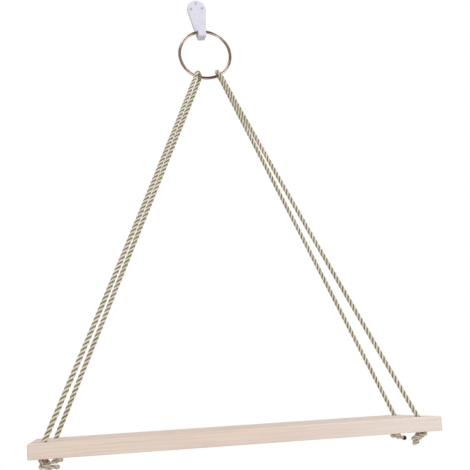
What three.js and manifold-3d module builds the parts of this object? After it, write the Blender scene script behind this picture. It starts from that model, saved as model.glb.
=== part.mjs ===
import * as THREE from 'three';
import { mergeVertices } from 'three/addons/utils/BufferGeometryUtils.js';
import Module from 'manifold-3d';

// Hanging rope shelf. A plank hangs from two ropes, one for each end. Each rope starts in a knot
// under the plank, comes up through a front hole, passes over the lower arc of a metal ring and goes
// down through a back hole to its second knot. The ring hangs on a small plastic hook that is nailed
// to the wall, and the plank's back edge leans on that wall.
// Millimetres, +Z up, +X to the viewer's right, the viewer at -Y. The origin is on the wall, in the
// middle of the hook's flat back.

// Plank
const plankLength = 420;
const plankWidth = 120;
const plankThickness = 15;
const plankEdgeEase = 1;
const plankWallGap = 0.5;
const ropeDrop = 419.4; // from the ring's lowest point to the plank's top face

// Rope holes, drilled by hand, so the four are not quite alike
const ropeHoleDiameter = 8;
const holeFromLongEdge = 20;
const holeFromEnd = { frontLeft: 13.1, backLeft: 21.1, frontRight: 15.6, backRight: 9.3 };

// Ropes
const ropeDiameter = 5;
const bightAngleLeft = 19.7; // degrees round the ring from its foot to each rope
const bightAngleRight = 30.1;
const bightTurnLeft = 28; // degrees by which a rope crosses the ring's wire off square
const bightTurnRight = 6;
const frontLegBow = 1.8; // how far a front leg bows from a straight line, towards the middle
const legBowShare = 0.55; // where it bows, as a share of its height
const knotSqueezeShare = 0.64; // a rope is squeezed to this share of its diameter in a knot
const knotStrandGap = 0.45;
const leastStrandShare = 0.95; // least distance between strands of the knot below, in strand spacings

// Ring
const ringOuterDiameter = 67;
const ringWireDiameter = 3.5;
const ringLean = 3.5; // degrees by which its foot stands out from the wall
const ringRoll = 5; // degrees from its top to the place where it rests on the hook

// Hook
const hookHeight = 53.6;
const hookTilt = 6; // degrees by which it is nailed out of upright, its top to the left
const hookTopWidth = 24;
const hookFootWidth = 11;
const hookFootRound = 3; // radius of the foot's corners
const hookPlateThickness = 4;
const hookSlotWidth = 5.1;
const hookLipThickness = 3.8;
const hookLipWidth = 10.2;
const hookLipHeight = 6; // above the saddle
const hookLipFootRound = 2;
const hookSaddleThickness = 6.35;
const hookSaddleRound = 5.5; // radius of the saddle's crown, on which the ring rocks
const hookEdgeRound = 1.5;

// Nails
const nailHeadDiameter = 2.8;
const nailHeadThickness = 0.9;
const nailShankDiameter = 1.3;
const nailReach = 13; // into the wall, from the hook's back
const nailPointLength = 2.2;
const nailSpread = 7.1; // from the middle line to each lower nail
const nailRise = 14.9; // of the lower nails above the middle of the hook
const topNailRise = 22.2;

// Clearances between neighbours
const seatGap = 0.3;
const saddleGap = 0.35;
const bightGap = 0.78; // room for a rope to swing about the wire
const cutOverrun = 1;

// Fineness of the curved surfaces
const ropeSides = 8;
const legStep = 14;
const bendStep = 1.7;
const ringSides = 12;
const ringSegments = 72;
const roundSegments = 12;
const nailSegments = 12;

// Colours and finishes
const wood = new THREE.MeshStandardMaterial({ color: '#e2cdb8', roughness: 0.7, metalness: 0 });
const rope = new THREE.MeshStandardMaterial({ color: '#c4b596', roughness: 0.9, metalness: 0 });
const ringMetal = new THREE.MeshStandardMaterial({ color: '#b08a5e', roughness: 0.2, metalness: 1 });
const plastic = new THREE.MeshStandardMaterial({ color: '#e6e3f0', roughness: 0.35, metalness: 0 });
const steel = new THREE.MeshStandardMaterial({ color: '#9a9aa0', roughness: 0.3, metalness: 1 });

const radians = THREE.MathUtils.degToRad;
const wasm = await Module();
wasm.setup();

// Solids for cutting and joining

function toSolid(geometry) {
  const bare = geometry.clone();
  bare.deleteAttribute('normal');
  bare.deleteAttribute('uv');
  const merged = mergeVertices(bare);
  return new wasm.Manifold(new wasm.Mesh({
    numProp: 3,
    vertProperties: new Float32Array(merged.attributes.position.array),
    triVerts: new Uint32Array(merged.index.array),
  }));
}

function toGeometry(solid) {
  const mesh = solid.getMesh();
  const geometry = new THREE.BufferGeometry();
  geometry.setAttribute('position', new THREE.BufferAttribute(mesh.vertProperties, 3));
  geometry.setIndex(new THREE.BufferAttribute(mesh.triVerts, 1));
  return geometry;
}

function named(name, geometry, material) {
  const mesh = new THREE.Mesh(geometry, material);
  mesh.name = name;
  return mesh;
}

// A flat outline in X and Z, drawn as x and y, made thick from the plane y = back towards the viewer
function panel(outline, back, thickness, edgeRound) {
  const geometry = new THREE.ExtrudeGeometry(outline, {
    depth: thickness - 2 * edgeRound,
    curveSegments: roundSegments,
    bevelEnabled: edgeRound > 0,
    bevelThickness: edgeRound,
    bevelSize: edgeRound,
    bevelOffset: -edgeRound,
    bevelSegments: 3,
  });
  geometry.translate(0, 0, edgeRound);
  geometry.rotateX(Math.PI / 2);
  geometry.translate(0, back, 0);
  return geometry;
}

// Hook: places that the ring and the nails share with it
const hookTop = hookHeight / 2;
const hookFoot = -hookHeight / 2;
const saddleCrest = hookFoot + hookSaddleThickness;
const slotMiddle = -(hookPlateThickness + hookSlotWidth / 2);
const crownCentre = new THREE.Vector3(0, slotMiddle, saddleCrest - hookSaddleRound);

// The two corners of a foot. Its sides lean in by the taper, an angle
function addFootCorners(outline, footWidth, cornerRadius, taper) {
  const cornerX = footWidth / 2 - cornerRadius;
  const cornerZ = hookFoot + cornerRadius;
  outline.absarc(-cornerX, cornerZ, cornerRadius, Math.PI + taper, 1.5 * Math.PI, false);
  outline.absarc(cornerX, cornerZ, cornerRadius, 1.5 * Math.PI, 2 * Math.PI - taper, false);
}

// A round top and a narrower foot, with straight sides that touch both
function tapered(topHeight, topRadius, footWidth, cornerRadius) {
  const topCentre = topHeight - topRadius;
  const across = footWidth / 2 - cornerRadius;
  const down = topCentre - (hookFoot + cornerRadius);
  const taper = Math.asin((topRadius - cornerRadius) / Math.hypot(across, down)) - Math.atan2(across, down);
  const outline = new THREE.Shape();
  outline.absarc(0, topCentre, topRadius, -taper, Math.PI + taper, false);
  addFootCorners(outline, footWidth, cornerRadius, taper);
  return outline;
}

// The saddle is as wide as the lip, with a rounded crown on which the ring hangs
function saddleOutline() {
  const crownEdge = Math.acos(hookLipWidth / 2 / hookSaddleRound);
  const outline = new THREE.Shape();
  outline.absarc(0, saddleCrest - hookSaddleRound, hookSaddleRound, crownEdge, Math.PI - crownEdge, false);
  addFootCorners(outline, hookLipWidth, hookLipFootRound, 0);
  return outline;
}

const nailPlaces = {
  nail_top: [0, topNailRise],
  nail_left: [-nailSpread, nailRise],
  nail_right: [nailSpread, nailRise],
};

function wallHook() {
  // The plate is made too deep at the back, and cut there, so that its back is flat and sharp
  const plateShape = tapered(hookTop, hookTopWidth / 2, hookFootWidth, hookFootRound);
  const plate = toSolid(panel(plateShape, hookEdgeRound, hookPlateThickness + hookEdgeRound, hookEdgeRound));
  const behindWall = new THREE.BoxGeometry(2 * hookTopWidth, 2 * hookEdgeRound, 2 * hookHeight);
  behindWall.translate(0, hookEdgeRound, 0);
  const saddleStart = -hookPlateThickness / 2;
  const lipBack = -(hookPlateThickness + hookSlotWidth);
  const saddleDepth = saddleStart - lipBack + hookLipThickness / 2;
  const saddle = toSolid(panel(saddleOutline(), saddleStart, saddleDepth, 0));
  const lipShape = tapered(saddleCrest + hookLipHeight, hookLipWidth / 2, hookLipWidth, hookLipFootRound);
  const lip = toSolid(panel(lipShape, lipBack, hookLipThickness, hookEdgeRound));
  let body = plate.subtract(toSolid(behindWall)).add(saddle).add(lip);
  for (const [x, z] of Object.values(nailPlaces)) {
    const holeLength = hookPlateThickness + 2 * cutOverrun;
    const hole = new THREE.CylinderGeometry(
      nailShankDiameter / 2 + seatGap, nailShankDiameter / 2 + seatGap, holeLength, nailSegments);
    hole.translate(x, -hookPlateThickness / 2, z);
    body = body.subtract(toSolid(hole));
  }
  return named('wall_hook', toGeometry(body), plastic);
}

function nail(name, [x, z]) {
  const headBack = -(hookPlateThickness + seatGap);
  const headFront = headBack - nailHeadThickness;
  const headRadius = nailHeadDiameter / 2;
  const shankRadius = nailShankDiameter / 2;
  const headDomeShare = 0.7; // the head's flat middle, as a share of its radius
  const profile = [
    [0, headFront],
    [headRadius * headDomeShare, headFront],
    [headRadius, headBack - nailHeadThickness / 2],
    [headRadius, headBack],
    [shankRadius, headBack],
    [shankRadius, nailReach - nailPointLength],
    [0, nailReach],
  ];
  const geometry = new THREE.LatheGeometry(profile.map(([r, y]) => new THREE.Vector2(r, y)), nailSegments);
  geometry.translate(x, 0, z);
  return named(name, geometry, steel);
}

// Ring: it rests on the saddle's crown, a little off its own top, and its foot leans out from the wall
const ringRadius = (ringOuterDiameter - ringWireDiameter) / 2;
const lean = radians(ringLean);
const roll = radians(ringRoll);
const right = new THREE.Vector3(1, 0, 0);
const ringDown = new THREE.Vector3(0, -Math.sin(lean), -Math.cos(lean));
const ringFront = new THREE.Vector3(0, -Math.cos(lean), Math.sin(lean));
const crownReach = hookSaddleRound + saddleGap + ringWireDiameter / 2;
const ringRest = new THREE.Vector3(
  crownCentre.x - crownReach * Math.sin(roll), crownCentre.y, crownCentre.z + crownReach * Math.cos(roll));
const ringCentre = ringRest.clone()
  .addScaledVector(right, ringRadius * Math.sin(roll))
  .addScaledVector(ringDown, ringRadius * Math.cos(roll));

function metalRing() {
  const geometry = new THREE.TorusGeometry(ringRadius, ringWireDiameter / 2, ringSides, ringSegments);
  const mesh = named('metal_ring', geometry, ringMetal);
  mesh.rotation.x = -(Math.PI / 2 + lean);
  mesh.position.copy(ringCentre);
  return mesh;
}

// Plank
const plankTop = ringCentre.z - ringRadius * Math.cos(lean) - ringWireDiameter / 2 - ropeDrop;
const plankUnderside = plankTop - plankThickness;
const plankBack = -plankWallGap;
const plankFront = plankBack - plankWidth;
const holePlaces = {
  frontLeft: [-plankLength / 2 + holeFromEnd.frontLeft, plankFront + holeFromLongEdge],
  backLeft: [-plankLength / 2 + holeFromEnd.backLeft, plankBack - holeFromLongEdge],
  frontRight: [plankLength / 2 - holeFromEnd.frontRight, plankFront + holeFromLongEdge],
  backRight: [plankLength / 2 - holeFromEnd.backRight, plankBack - holeFromLongEdge],
};

function plank() {
  const outline = new THREE.Shape();
  outline.moveTo(-plankLength / 2, plankFront);
  outline.lineTo(plankLength / 2, plankFront);
  outline.lineTo(plankLength / 2, plankBack);
  outline.lineTo(-plankLength / 2, plankBack);
  outline.closePath();
  for (const [x, y] of Object.values(holePlaces)) {
    outline.holes.push(new THREE.Path().absarc(x, y, ropeHoleDiameter / 2, 0, 2 * Math.PI, true));
  }
  const geometry = new THREE.ExtrudeGeometry(outline, {
    depth: plankThickness - 2 * plankEdgeEase,
    curveSegments: roundSegments,
    bevelThickness: plankEdgeEase,
    bevelSize: plankEdgeEase,
    bevelOffset: -plankEdgeEase,
    bevelSegments: 2,
  });
  geometry.translate(0, 0, plankUnderside + plankEdgeEase);
  return named('plank', geometry, wood);
}

// Rope knots. An overhand knot in strand spacings, from the rope's way in at its top to its tail:
// x and y lie across the hole, z along it.
const overhandShares = [
  [0, -0.1, 1.2], [-0.05, -0.35, 0.55], [-0.1, -0.75, -0.05], [0.3, -1.22, -0.48], [1, -1.3, -0.75],
  [1.6, -0.88, -0.78], [1.78, -0.15, -0.56], [1.4, 0.42, -0.27], [0.7, 0.6, -0.05], [0, 0.64, 0.13],
  [-0.7, 0.42, 0.36], [-1.05, -0.2, 0.66], [-0.85, -0.92, 0.86], [-0.12, -1.3, 0.88],
  [0.6, -1.15, 0.6], [0.92, -0.65, 0.08], [0.8, -0.3, -0.58], [0.8, -0.08, -1.05],
];
const tailShares = {
  frontLeft: [[0.85, 0.6, -1.1], [0.85, 1.3, -0.95], [0.8, 2.1, -0.9], [0.75, 3.1, -1.15]],
  backLeft: [[0.8, 0.3, -1.15], [0.85, 1, -1.15], [0.9, 1.6, -1.1]],
  frontRight: [[0.95, -0.05, -1.5], [1.4, 0.05, -1.75], [2, 0.1, -1.95]],
  backRight: [[0.8, 0.3, -1.15], [0.85, 1, -1.25], [0.9, 1.8, -1.45], [0.9, 2.5, -1.75]],
};
const knotTurns = { frontLeft: -83, backLeft: 97, frontRight: 155, backRight: -88 }; // degrees about the hole
const knotSpreadShares = { frontLeft: 1.08, backLeft: 1, frontRight: 1.22, backRight: 1.12 }; // sideways
const knotOffsets = { frontLeft: 1.3, backLeft: 0, frontRight: 1.8, backRight: 0 }; // to the right of the hole
const highestStrandShare = 0.9;
const knotRopeDiameter = ropeDiameter * knotSqueezeShare;
const strandSpacing = (knotRopeDiameter + knotStrandGap) / leastStrandShare;
const knotMiddle = plankUnderside - seatGap - knotRopeDiameter / 2 - strandSpacing * highestStrandShare;

// The rope is pulled against the inner side of its hole, closest at the bottom, where it is thinner
const leanAtTop = (ropeHoleDiameter - ropeDiameter) / 2 - 2 * seatGap;
const leanAtUnderside = (ropeHoleDiameter - knotRopeDiameter) / 2 - 2 * seatGap;

function ropeInHole(corner, leanInHole) {
  const [x, y] = holePlaces[corner];
  return new THREE.Vector2(x - Math.sign(x) * leanInHole, y);
}

// From the tail through the knot and the hole to the plank's top face
function knotRoute(corner) {
  const axis = ropeInHole(corner, leanAtUnderside);
  const wayOut = ropeInHole(corner, leanAtTop);
  const turn = radians(knotTurns[corner]);
  const spread = strandSpacing * knotSpreadShares[corner];
  const knot = [...overhandShares, ...tailShares[corner]].map(([x, y, z], i) => {
    const place = new THREE.Vector2(x, y).rotateAround(new THREE.Vector2(), turn).multiplyScalar(spread);
    const offset = i === 0 ? 0 : knotOffsets[corner];
    return new THREE.Vector3(axis.x + offset + place.x, axis.y + place.y, knotMiddle + z * strandSpacing);
  });
  const inHole = [
    new THREE.Vector3(axis.x, axis.y, plankUnderside + plankThickness / 3),
    new THREE.Vector3(wayOut.x, wayOut.y, plankTop - plankEdgeEase),
  ];
  return [...knot.reverse(), ...inHole];
}

// From the front leg over the ring's wire to the back leg
function bightRoute(angle, turn) {
  const place = radians(angle);
  const outwards = right.clone().multiplyScalar(Math.sin(place)).addScaledVector(ringDown, Math.cos(place));
  const along = right.clone().multiplyScalar(Math.cos(place)).addScaledVector(ringDown, -Math.sin(place));
  const wire = ringCentre.clone().addScaledVector(outwards, ringRadius);
  const reach = (ropeDiameter + ringWireDiameter) / 2 + bightGap;
  const across = ringFront.clone().multiplyScalar(reach)
    .addScaledVector(along, -reach * Math.tan(radians(turn)));
  const overWire = (angle) => wire.clone()
    .addScaledVector(across, Math.cos(angle))
    .addScaledVector(outwards, -reach * Math.sin(angle));
  const quarterSteps = 3;
  const arc = [];
  for (let i = 0; i <= 2 * quarterSteps; i += 1) {
    arc.push(overWire((i / quarterSteps) * (Math.PI / 2)));
  }
  const legStart = (end) => end.clone().addScaledVector(outwards, ropeDiameter);
  return [legStart(arc[0]), ...arc, legStart(arc[arc.length - 1])];
}

// Both ends of a leg belong to the bends at the bight and at the hole
function legEnds(top, bottom) {
  const direction = bottom.clone().sub(top).normalize();
  return [
    top.clone().addScaledVector(direction, ropeDiameter),
    bottom.clone().addScaledVector(direction, -ropeDiameter),
  ];
}

function bend(points) {
  const curve = new THREE.CatmullRomCurve3(points, false, 'centripetal');
  return curve.getSpacedPoints(Math.ceil(curve.getLength() / bendStep));
}

// A leg from its foot up to its top. A bowed one comes nearer to the middle between them
function leg(foot, top, bow) {
  const pull = new THREE.Vector3().lerpVectors(foot, top, legBowShare);
  pull.x -= Math.sign(foot.x) * 2 * bow;
  const curve = new THREE.QuadraticBezierCurve3(foot, pull, top);
  return curve.getSpacedPoints(Math.ceil(foot.distanceTo(top) / legStep));
}

function ropeCentres(front, back, angle, turn) {
  const frontKnot = knotRoute(front);
  const backKnot = knotRoute(back);
  const bight = bightRoute(angle, turn);
  const [frontTop, frontFoot] = legEnds(bight[0], frontKnot[frontKnot.length - 1]);
  const [backTop, backFoot] = legEnds(bight[bight.length - 1], backKnot[backKnot.length - 1]);
  return [
    ...bend([...frontKnot, frontFoot]),
    ...leg(frontFoot, frontTop, frontLegBow).slice(1, -1),
    ...bend([frontTop, ...bight, backTop]),
    ...leg(backFoot, backTop, 0).reverse().slice(1, -1),
    ...bend([backFoot, ...backKnot.reverse()]),
  ];
}

// The rope is thinner where the knot squeezes it, and swells to full size inside the hole
function ropeRadiusAt(centre) {
  const swell = THREE.MathUtils.smoothstep(centre.z, plankUnderside, plankTop);
  return THREE.MathUtils.lerp(knotRopeDiameter, ropeDiameter, swell) / 2;
}

// A closed tube with one ring of points round each centre
function tube(centres, radiusAt, sides) {
  const positions = [];
  const index = [];
  const last = centres.length - 1;
  const normal = new THREE.Vector3();
  centres.forEach((centre, i) => {
    const tangent = centres[Math.min(i + 1, last)].clone().sub(centres[Math.max(i - 1, 0)]).normalize();
    if (i === 0) normal.set(tangent.y, -tangent.x, 0);
    normal.addScaledVector(tangent, -normal.dot(tangent)).normalize();
    const binormal = tangent.clone().cross(normal);
    for (let k = 0; k < sides; k += 1) {
      const angle = (k / sides) * 2 * Math.PI;
      const point = centre.clone()
        .addScaledVector(normal, radiusAt(centre) * Math.cos(angle))
        .addScaledVector(binormal, radiusAt(centre) * Math.sin(angle));
      positions.push(point.x, point.y, point.z);
    }
  });
  for (let i = 0; i < last; i += 1) {
    for (let k = 0; k < sides; k += 1) {
      const a = i * sides + k;
      const b = i * sides + ((k + 1) % sides);
      index.push(a, b, b + sides, a, b + sides, a + sides);
    }
  }
  for (let k = 1; k < sides - 1; k += 1) {
    const end = last * sides;
    index.push(0, k + 1, k, end, end + k, end + k + 1);
  }
  const geometry = new THREE.BufferGeometry();
  geometry.setAttribute('position', new THREE.Float32BufferAttribute(positions, 3));
  geometry.setIndex(index);
  return geometry;
}

// The least gap between parts of one rope that are not next to each other along it
const nearbyShare = 1.6;

function leastSelfGap(centres) {
  const runs = [0];
  for (let i = 1; i < centres.length; i += 1) runs.push(runs[i - 1] + centres[i].distanceTo(centres[i - 1]));
  const nearby = nearbyShare * strandSpacing;
  let least = Infinity;
  for (let i = 0; i < centres.length; i += 1) {
    for (let j = i + 1; j < centres.length; j += 1) {
      if (runs[j] - runs[i] < nearby) continue;
      const gap = centres[i].distanceTo(centres[j]) - ropeRadiusAt(centres[i]) - ropeRadiusAt(centres[j]);
      least = Math.min(least, gap);
    }
  }
  return { least, length: runs[runs.length - 1] };
}

function shelfRope(name, front, back, angle, turn) {
  const centres = ropeCentres(front, back, angle, turn);
  const { least, length } = leastSelfGap(centres);
  console.log(`${name}: ${length.toFixed(0)} mm long, least gap to itself ${least.toFixed(2)} mm`);
  return named(name, tube(centres, ropeRadiusAt, ropeSides), rope);
}

// The hook and its nails are turned together about the centre of the saddle's crown
const hookAtCrown = new THREE.Group();
hookAtCrown.position.copy(crownCentre);
hookAtCrown.rotation.y = -radians(hookTilt);
const hookAndNails = new THREE.Group();
hookAndNails.position.copy(crownCentre).negate();
hookAndNails.add(wallHook());
for (const [name, place] of Object.entries(nailPlaces)) hookAndNails.add(nail(name, place));
hookAtCrown.add(hookAndNails);

const shelf = new THREE.Group();
shelf.add(hookAtCrown);
shelf.add(metalRing());
shelf.add(shelfRope('rope_left', 'frontLeft', 'backLeft', -bightAngleLeft, bightTurnLeft));
shelf.add(shelfRope('rope_right', 'frontRight', 'backRight', bightAngleRight, bightTurnRight));
shelf.add(plank());

export default shelf;
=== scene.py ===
import math

import bmesh
import bpy
from bpy.props import FloatProperty, FloatVectorProperty, PointerProperty
from mathutils import Matrix, Vector


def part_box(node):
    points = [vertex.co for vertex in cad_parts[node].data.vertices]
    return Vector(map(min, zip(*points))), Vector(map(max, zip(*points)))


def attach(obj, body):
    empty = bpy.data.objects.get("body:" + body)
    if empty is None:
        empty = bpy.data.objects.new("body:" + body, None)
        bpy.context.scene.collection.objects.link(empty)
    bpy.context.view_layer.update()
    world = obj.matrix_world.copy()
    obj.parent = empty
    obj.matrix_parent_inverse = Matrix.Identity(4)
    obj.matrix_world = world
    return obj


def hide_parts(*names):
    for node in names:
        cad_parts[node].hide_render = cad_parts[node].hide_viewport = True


bl_info = {
    "name": "Hanging rope shelf",
    "version": (1, 0, 0),
    "blender": (4, 5, 0),
    "location": "3D View > Sidebar > Rope shelf",
    "description": "Dresses a plank shelf that hangs by two knotted ropes from a metal ring and a wall hook",
    "category": "Object",
}

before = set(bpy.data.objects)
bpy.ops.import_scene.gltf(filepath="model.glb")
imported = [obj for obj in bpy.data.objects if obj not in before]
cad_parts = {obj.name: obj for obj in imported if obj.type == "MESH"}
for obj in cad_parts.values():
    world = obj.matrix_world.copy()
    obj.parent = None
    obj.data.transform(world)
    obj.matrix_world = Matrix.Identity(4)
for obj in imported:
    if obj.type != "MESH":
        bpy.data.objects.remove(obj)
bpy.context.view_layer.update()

MM = 0.001


def linear(code):
    """An sRGB hex colour as linear red, green and blue"""
    channels = [int(code[i:i + 2], 16) / 255 for i in (1, 3, 5)]
    return [c / 12.92 if c <= 0.04045 else ((c + 0.055) / 1.055) ** 2.4 for c in channels]


# Sizes and colours

def colour_setting(name, code, description):
    """A colour that a user can change, given as sRGB hex"""
    return FloatVectorProperty(
        name=name, description=description, subtype='COLOR', default=linear(code), min=0, max=1)


class PlankSettings(bpy.types.PropertyGroup):
    early_wood: colour_setting("Early wood", '#e9dacd', "Colour of the pale wood between the year rings")
    late_wood: colour_setting("Late wood", '#dcc1aa', "Colour of the thin darker year rings")
    blush: colour_setting("Blush", '#e6cdc5', "Colour of the pinkish patches")
    # Painted light: this paler, cooler colour towards the right end stands in for stronger light there
    right_light: colour_setting("Sapwood", '#efe5e1', "Colour of the paler wood towards the right end")
    open_grain: colour_setting(
        "Open grain", '#a8825c', "Colour that the sawn ends and the walls of the holes lean to")
    ring_spacing: FloatProperty(
        name="Ring spacing", description="Distance from one year ring to the next",
        default=3.4 * MM, min=1 * MM, max=10 * MM, unit='LENGTH')


class RopeSettings(bpy.types.PropertyGroup):
    lay: FloatProperty(
        name="Lay", description="Length along the rope in which a strand goes round once",
        default=18 * MM, min=8 * MM, max=60 * MM, unit='LENGTH')
    leg_radius: FloatProperty(
        name="Radius", description="Radius of the rope in its legs",
        default=2.6 * MM, min=1 * MM, max=5 * MM, unit='LENGTH')
    knot_radius: FloatProperty(
        name="Radius in a knot", description="Radius to which a knot squeezes the rope",
        default=2.3 * MM, min=1 * MM, max=5 * MM, unit='LENGTH')
    crown: colour_setting("Crown", '#f0e6d6', "Colour of a strand where it stands highest")
    # Painted shade: the flank and groove colours darken the strands by how deep a point lies in the lay,
    # darkest in the grooves
    shaded_flank: colour_setting("Flank", '#d6ccb7', "Colour of a strand's sides")
    groove_shade: colour_setting("Groove", '#82755f', "Colour of the dark yarns between two strands")
    singed: colour_setting("Singed", '#070504', "Colour of a rope's end where a flame has blackened it")


class HookSettings(bpy.types.PropertyGroup):
    plastic: colour_setting("Plastic", '#dfdde9', "Colour of the moulding")
    voxel: FloatProperty(
        name="Fineness", description="Size of the cells from which the moulding's skin is made",
        default=0.34 * MM, min=0.2 * MM, max=1 * MM, unit='LENGTH')


class MetalSettings(bpy.types.PropertyGroup):
    ring: colour_setting("Ring", '#ccbdb4', "Colour of the ring's polished wire")
    nails: colour_setting("Nails", '#d3d2da', "Colour of the nails' zinc")


class StudioSettings(bpy.types.PropertyGroup):
    ambient: FloatProperty(
        name="Ambient", description="Strength of the light from all round", default=0.66, min=0, max=2)
    room_sides: colour_setting(
        "Room's sides", '#a99388', "Colour of the dim room's side walls in reflections")
    room_ends: colour_setting(
        "Room's ends", '#64503f', "Colour of the room's ceiling and floor in reflections")
    windows: FloatProperty(
        name="Windows", description="How bright the strips of window light are in reflections",
        default=2.2, min=0, max=4)
    floor: colour_setting("Floor", '#f4f2ef', "Colour of the floor")


# Materials

def output_of(node):
    """A node's first output in use"""
    return next(output for output in node.outputs if output.enabled)


def add_node(tree, kind, settings=None, inputs=None, stops=()):
    """Adds a node and sets its options and sockets. A socket that is given an output is linked to it, and
    one that is given a node to that node's first output in use. The stops are a colour ramp's, from left
    to right"""
    node = tree.nodes.new(kind)
    for key, value in (settings or {}).items():
        setattr(node, key, value)
    for key, value in (inputs or {}).items():
        if isinstance(value, bpy.types.Node):
            value = output_of(value)
        if isinstance(value, bpy.types.NodeSocket):
            tree.links.new(value, node.inputs[key])
        else:
            node.inputs[key].default_value = value
    if stops:
        elements = node.color_ramp.elements
        for position, colour in stops[1:-1]:
            elements.new(position).color = colour
        for element, (position, colour) in ((elements[0], stops[0]), (elements[-1], stops[-1])):
            element.position, element.color = position, colour
    return node


# Options of nodes that mix two colours, darken one colour by another, and multiply two values
MIXED, DARKENED = {'data_type': 'RGBA'}, {'data_type': 'RGBA', 'blend_type': 'MULTIPLY'}
TIMES = {'operation': 'MULTIPLY'}


def new_material(name):
    material = bpy.data.materials.new(name)
    material.use_nodes = True
    tree = material.node_tree
    return material, tree, tree.nodes['Principled BSDF']


def finish_material(tree, shader, base, rough, bump=None):
    """Links a pattern's colour, roughness and bump to the shader"""
    for socket, node in (('Base Color', base), ('Roughness', rough), ('Normal', bump)):
        if node:
            tree.links.new(output_of(node), shader.inputs[socket])


def with_alpha(rgb):
    return (*rgb, 1)


def grey(value):
    return (value, value, value, 1)


# The heart is the tree's middle line, round which the year rings lie. Its shift and its wander are in
# metres, and its turn is in radians
HEART_SHIFT, HEART_TURN, HEART_WANDER = (0, 0.012, 0.62), (0, 0.03, -0.045), (0, 0.012, 0.012)
# Four noises in the wood: the cells in a metre along, across and through the plank, the detail and the
# roughness. Fibres are about 0.1 mm wide, and drawn 0.5 mm wide so that they show
WANDER, UNEVENNESS = ((3.2, 26, 26), 2, 0.5), ((5, 45, 45), 2, 0.5)
PATCHES, FIBRES = ((11, 60, 60), 1, 0.5), ((22, 1900, 1900), 3, 0.6)
# At scale 1, a wave texture has one ring in this many metres
WAVE_LENGTH = 2 * math.pi / 20
# Where the painted light towards the right end begins and where the plank is painted palest, in metres right
# of the plank's middle, and how much of its colour shows there
RIGHT_LIGHT_START, RIGHT_LIGHT_FULL, RIGHT_LIGHT_SHARE = 0.03, 0.2, 0.62
# Open grain: where it begins and is full, in millimetres from a sawn end and from a hole's middle, and
# how much of its colour shows on the ends and in the holes
SAWN_START, SAWN_FULL, DRILLED_START, DRILLED_FULL = 1.1, 0.3, 5.3, 4.3
SAWN_SHARE, DRILLED_SHARE = 0.35, 0.6


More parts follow.
